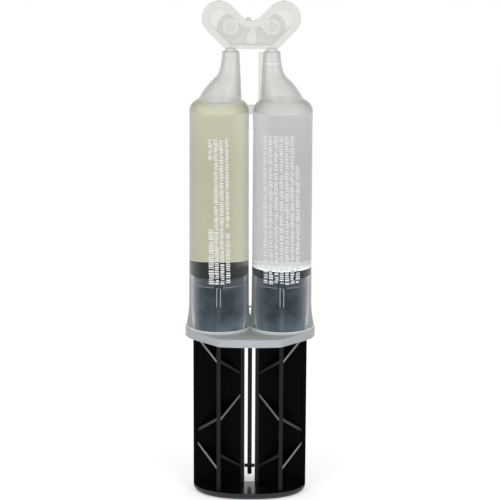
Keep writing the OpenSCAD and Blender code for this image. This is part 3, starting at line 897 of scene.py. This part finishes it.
class SYRINGE_OT_contents(bpy.types.Operator):
    """Resin on the left and hardener on the right"""
    bl_idname = "syringe.contents"
    bl_label = "Resin and hardener"

    def execute(self, context):
        look = context.scene.syringe_contents
        clear = wetted_wall("liquid_contact")
        resin = split_fill("resin_fill", "resin_column", "resin_crown")
        finish_liquid(resin, "resin_fill",
                      liquid_body("amber_epoxy_resin", look.resin_colour), clear)
        hardener = split_fill("hardener_fill", "hardener_column", "hardener_crown")
        finish_liquid(hardener, "hardener_fill",
                      liquid_body("clear_hardener", look.hardener_colour), clear)
        return {"FINISHED"}


def ticks_of_row(dice, height, top, bottom):
    """The ticks of one row, set out like words: (distance down, width, share of height, shift)."""
    ticks = []
    down, left = 0.0, 0
    while down < top - bottom - TICK_WIDTHS[-1]:
        if left == 0:
            left = dice.randint(*WORD_TICKS)
            down += WORD_GAP if ticks else 0
        width = dice.choice(TICK_WIDTHS)
        share = dice.choice(TICK_SHARES)
        shift = dice.choice((-1, 1)) * (1 - share) / 2 * height
        ticks.append((down + width / 2, width, share, shift))
        down += width + TICK_GAP
        left -= 1
    return ticks


def pad_print(name, over_liquid, over_black):
    """Thin white ink, lit from behind too, which looks brighter and bluer over the pistons."""
    material, tree, output = new_material(name)
    low = fade(tree, point_of(tree)[1]["Z"], PISTON_HIGH.z, PISTON_HIGH.z - MM, smooth_ends=False)
    colour = blend(tree, low, rgba(over_liquid), rgba(over_black))
    ink = surface(tree, rgba(INK_BASE), 0.5,
                  {"IOR": 1.45, "Emission Color": colour, "Emission Strength": INK_GLOW})
    show(tree, output, ink)
    return material


def flat_ticks(name, rows, dice):
    """All ticks of some rows as one object, on an upright plane in front of the barrels."""
    bpy.ops.object.select_all(action="DESELECT")
    bpy.ops.mesh.primitive_plane_add(size=1, rotation=(math.pi / 2, 0, 0))
    bpy.ops.object.transform_apply(rotation=True)
    tick = bpy.context.object
    copies = []
    for start, height, top, bottom in rows:
        for down, width, share, shift in ticks_of_row(dice, height, top, bottom):
            copy = bpy.data.objects.new(name, tick.data.copy())
            lean = ROW_LEAN * (LEFT_ROWS[0][2] - top + down)
            copy.location = ((start + shift + lean) * MM, INK_START_Y, (top - down) * MM)
            copy.scale = (height * share * MM, 1, width * MM)
            bpy.context.scene.collection.objects.link(copy)
            copies.append(copy)
    bpy.data.objects.remove(tick)
    bpy.ops.object.select_all(action="DESELECT")
    for copy in copies:
        copy.select_set(True)
    bpy.context.view_layer.objects.active = copies[0]
    bpy.ops.object.join()
    field = bpy.context.object
    field.name = name
    bpy.ops.object.transform_apply(location=True, rotation=True, scale=True)
    return field


def lay_on(field, target):
    """Moves flat ticks back onto the target, and gives them the depth of ink."""
    wrap = field.modifiers.new("wrap", "SHRINKWRAP")
    wrap.target = target
    wrap.wrap_method = "PROJECT"
    wrap.use_project_y = True
    wrap.use_project_x = wrap.use_project_z = False
    wrap.use_positive_direction = True
    wrap.use_negative_direction = False
    wrap.offset = INK_LIFT
    bpy.ops.object.modifier_apply(modifier="wrap")
    thicken = field.modifiers.new("thicken", "SOLIDIFY")
    thicken.thickness = INK_DEPTH
    thicken.offset = -1
    bpy.ops.object.modifier_apply(modifier="thicken")


class SYRINGE_OT_print(bpy.types.Operator):
    """Rows of plain white ticks printed on the barrels"""
    bl_idname = "syringe.print"
    bl_label = "Print"

    def execute(self, context):
        dice = random.Random(PRINT_SEED)
        for name, rows in (("left_print", LEFT_ROWS), ("right_print", RIGHT_ROWS)):
            field = flat_ticks(name, rows, dice)
            lay_on(field, bpy.data.objects["barrel_moulding"])
            paint(field, pad_print("white_pad_print_" + name, *INKS[name]))
            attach(field, "barrel")
        return {"FINISHED"}


class SYRINGE_OT_stage(bpy.types.Operator):
    """Pale floor, soft lamps and the camera"""
    bl_idname = "syringe.stage"
    bl_label = "Studio"

    def execute(self, context):
        look = context.scene.syringe_stage
        self.add_camera(context, look)
        self.add_floor()
        self.add_lamps()
        self.add_world(context, look)
        context.scene.view_settings.view_transform = "Standard"
        return {"FINISHED"}

    def add_camera(self, context, look):
        target = Vector(CAMERA_TARGET)
        back = Vector((0, -math.cos(look.elevation), math.sin(look.elevation)))
        bpy.ops.object.camera_add(location=target + back * look.distance)
        camera = context.object
        camera.data.lens = look.focal_length
        camera.data.sensor_width = 36
        camera.rotation_euler = (math.pi / 2 - look.elevation, 0, 0)
        camera.rotation_euler.rotate_axis("Z", look.roll)
        camera.data.clip_start = 0.01
        context.scene.camera = camera

    def add_floor(self):
        bpy.ops.mesh.primitive_plane_add(size=FLOOR_SIZE, location=(0, 0, -FLOOR_GAP))
        floor = bpy.context.object
        floor.name = "studio_floor"
        material, tree, output = new_material("white_paper")
        paper = add(tree, "ShaderNodeBsdfDiffuse", {"Color": rgba(FLOOR_COLOUR)}).outputs[0]
        glow = add(tree, "ShaderNodeEmission", {"Strength": FLOOR_GLOW}).outputs[0]
        lit = add(tree, "ShaderNodeAddShader", {0: paper, 1: glow}).outputs[0]
        show(tree, output, either(tree, looked_at(tree), paper, lit))
        paint(floor, material)

    def add_lamps(self):
        for x, y, z in LAMPS:
            bpy.ops.object.light_add(type="AREA", location=(x, y, z))
            lamp = bpy.context.object
            lamp.data.size = LAMP_SIZE
            lamp.data.energy = LAMP_POWER
            aim = Vector((x, y, z - LAMP_AIM_Z))
            lamp.rotation_euler = aim.to_track_quat("Z", "Y").to_euler()

    def add_world(self, context, look):
        world = bpy.data.worlds.new("studio")
        world.use_nodes = True
        tree = world.node_tree
        tree.nodes.clear()
        ambient, white = (
            add(tree, "ShaderNodeBackground",
                {"Color": rgba("#FFFFFF"), "Strength": strength}).outputs[0]
            for strength in (look.ambient, 1.0))
        output = add(tree, "ShaderNodeOutputWorld")
        show(tree, output, either(tree, looked_at(tree), ambient, white))
        context.scene.world = world


OPERATORS = (
    SYRINGE_OT_barrel,
    SYRINGE_OT_plunger,
    SYRINGE_OT_pistons,
    SYRINGE_OT_stick,
    SYRINGE_OT_contents,
    SYRINGE_OT_print,
    SYRINGE_OT_stage,
)


class SYRINGE_PT_build(bpy.types.Panel):
    """Lists the steps that finish the syringe"""
    bl_idname = "SYRINGE_PT_build"
    bl_label = "Syringe"
    bl_space_type = "VIEW_3D"
    bl_region_type = "UI"
    bl_category = PANEL_TAB

    def draw(self, context):
        for operator in OPERATORS:
            self.layout.operator(operator.bl_idname)


LOOKS = (
    ("syringe_barrel", BarrelLook),
    ("syringe_plunger", PlungerLook),
    ("syringe_contents", ContentsLook),
    ("syringe_stage", StageLook),
)


def register():
    for name, group in LOOKS:
        bpy.utils.register_class(group)
        setattr(bpy.types.Scene, name, bpy.props.PointerProperty(type=group))
    for operator in OPERATORS:
        bpy.utils.register_class(operator)
    bpy.utils.register_class(SYRINGE_PT_build)


def unregister():
    bpy.utils.unregister_class(SYRINGE_PT_build)
    for operator in reversed(OPERATORS):
        bpy.utils.unregister_class(operator)
    for name, group in reversed(LOOKS):
        delattr(bpy.types.Scene, name)
        bpy.utils.unregister_class(group)


def main():
    register()
    bpy.ops.syringe.barrel()
    bpy.ops.syringe.plunger()
    bpy.ops.syringe.pistons()
    bpy.ops.syringe.stick()
    bpy.ops.syringe.contents()
    bpy.ops.syringe.print()
    bpy.ops.syringe.stage()


if __name__ == "__main__":
    main()
